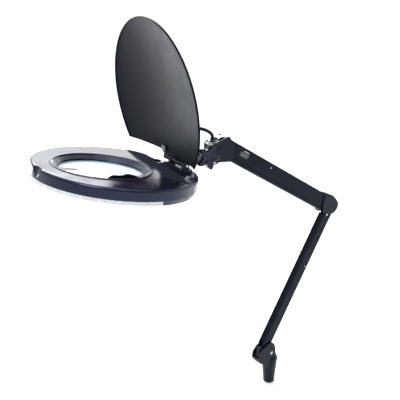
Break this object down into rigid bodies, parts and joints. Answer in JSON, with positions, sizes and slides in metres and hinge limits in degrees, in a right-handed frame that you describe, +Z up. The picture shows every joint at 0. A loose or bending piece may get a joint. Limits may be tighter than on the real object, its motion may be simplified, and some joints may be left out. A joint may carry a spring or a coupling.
{
  "type": "magnifying lamp",
  "caption": "Bench magnifying lamp: round lit lens head with hinged dust lid, tilt and swivel joint with star knob, balanced two-stage arm and socket post.",
  "frame": {"origin": "centre of the mounting bore's mouth, in the bottom face of the post", "axes": "+Z up along the bore, -X the way the lamp reaches, -Y the side of the star knob"},
  "size_m": [0.5777, 0.2521, 0.6916],
  "materials": {
    "moulded_plastic": "fine satin moulding texture",
    "brass": "turned",
    "steel": "zinc plated",
    "painted_steel": "semi-gloss black powder coat",
    "spring_steel": "oiled wire",
    "zinc": "die cast",
    "label": "printed film",
    "chrome": "polished",
    "nylon": "natural",
    "rubber": "matt",
    "cable": "satin PVC",
    "knob_plastic": "satin gloss",
    "gloss_housing": "gloss",
    "lens_glass": "polished",
    "white_plastic": "gloss white",
    "circuit_board": "white solder mask",
    "led": "yellow phosphor",
    "diffuser": "frosted acrylic",
    "component": "moulded case",
    "switch_plastic": "gloss",
    "clear_clip": "clear",
    "lid_plastic": "satin",
    "clip_plastic": "satin"
  },
  "bodies": {
    "base": {"base_knuckle": "moulded_plastic", "socket_bush": "brass", "base_pivot_pins": "steel", "base_screws": "steel"},
    "lower_arm": {"lower_arm_channel": "painted_steel", "lower_anchor_pin": "steel", "lower_spring": "spring_steel"},
    "lower_link": {"lower_link_channel": "painted_steel"},
    "elbow": {"elbow_cap": "moulded_plastic", "elbow_core": "zinc", "elbow_pivot_pins": "steel"},
    "upper_arm": {"upper_arm_channel": "painted_steel", "upper_anchor_pin": "steel", "upper_springs": "spring_steel", "rating_label": "label"},
    "upper_link": {"upper_link_channel": "painted_steel"},
    "head_fork": {"fork_shell": "moulded_plastic", "fork_core": "chrome", "fork_pivot_pins": "steel", "swivel_bushes": "nylon"},
    "swivel": {"swivel_spindle": "chrome", "swivel_nut": "chrome", "swivel_grommet": "rubber", "swivel_yoke": "chrome", "tilt_bolt": "steel", "tilt_washers": "chrome", "head_cable": "cable"},
    "knob": {"star_knob": "knob_plastic", "knob_insert": "brass"},
    "head": {"upper_housing": "gloss_housing", "rear_cap": "gloss_housing", "bezel_ring": "gloss_housing", "lens": "lens_glass", "lens_barrel": "white_plastic", "led_board": "circuit_board", "leds": "led", "reflector": "white_plastic", "diffuser": "diffuser", "rear_lower_housing": "gloss_housing", "driver_board": "circuit_board", "driver_parts": "component", "switch_frame": "switch_plastic", "housing_screws": "steel", "head_tongue": "chrome", "hinge_block": "moulded_plastic", "hinge_pin": "steel", "diffuser_clips": "clear_clip", "cable_relief": "rubber"},
    "switch": {"switch_rocker": "switch_plastic"},
    "lid": {"lid_cover": "lid_plastic", "lid_hinge_arm": "moulded_plastic", "lid_clips": "clip_plastic"}
  },
  "joints": [
    {"name": "base_tilt", "type": "hinge", "parent": "base", "child": "lower_arm", "pos_m": [-0.01931, 0, 0.06933], "axis": [0, 1, 0], "range_deg": [-30, 30]},
    {"name": "lower_link_tilt", "type": "hinge", "parent": "base", "child": "lower_link", "pos_m": [-0.02544, 0, 0.07723], "axis": [0, 1, 0], "range_deg": [-30, 30]},
    {"name": "elbow_level", "type": "hinge", "parent": "lower_arm", "child": "elbow", "pos_m": [0.13806, 0, 0.31885], "axis": [0, 1, 0], "range_deg": [-30, 30]},
    {"name": "elbow_tilt", "type": "hinge", "parent": "elbow", "child": "upper_arm", "pos_m": [0.12925, 0, 0.34067], "axis": [0, 1, 0], "range_deg": [-50, 20]},
    {"name": "upper_link_tilt", "type": "hinge", "parent": "elbow", "child": "upper_link", "pos_m": [0.12175, 0, 0.32213], "axis": [0, 1, 0], "range_deg": [-50, 20]},
    {"name": "fork_level", "type": "hinge", "parent": "upper_arm", "child": "head_fork", "pos_m": [-0.12106, 0, 0.49678], "axis": [0, 1, 0], "range_deg": [-20, 50]},
    {"name": "head_swivel", "type": "hinge", "parent": "head_fork", "child": "swivel", "pos_m": [-0.1405, 0, 0.4805], "axis": [0, 0, 1], "range_deg": [-90, 50]},
    {"name": "head_tilt", "type": "hinge", "parent": "swivel", "child": "head", "pos_m": [-0.16239, 0.00218, 0.4805], "axis": [0.0993, 0.9951, 0], "range_deg": [-60, 55], "deforming": ["head_cable"]},
    {"name": "knob_turn", "type": "hinge", "parent": "swivel", "child": "knob", "pos_m": [-0.16239, 0.00218, 0.4805], "axis": [0.0993, 0.9951, 0], "range_deg": [-180, 180]},
    {"name": "lid_open", "type": "hinge", "parent": "head", "child": "lid", "pos_m": [-0.21829, 0.00776, 0.48412], "axis": [0.0993, 0.9951, 0], "range_deg": [-74.4, 16]},
    {"name": "switch_rock", "type": "hinge", "parent": "head", "child": "switch", "pos_m": [-0.26146, -0.07385, 0.47576], "axis": [0.8294, -0.539, -0.1471], "range_deg": [0, 16]}
  ],
  "couplings": [
    {"joint": "lower_link_tilt", "follows": "base_tilt", "ratio": 1},
    {"joint": "elbow_level", "follows": "base_tilt", "ratio": -1},
    {"joint": "upper_link_tilt", "follows": "elbow_tilt", "ratio": 1},
    {"joint": "fork_level", "follows": "elbow_tilt", "ratio": -1}
  ]
}
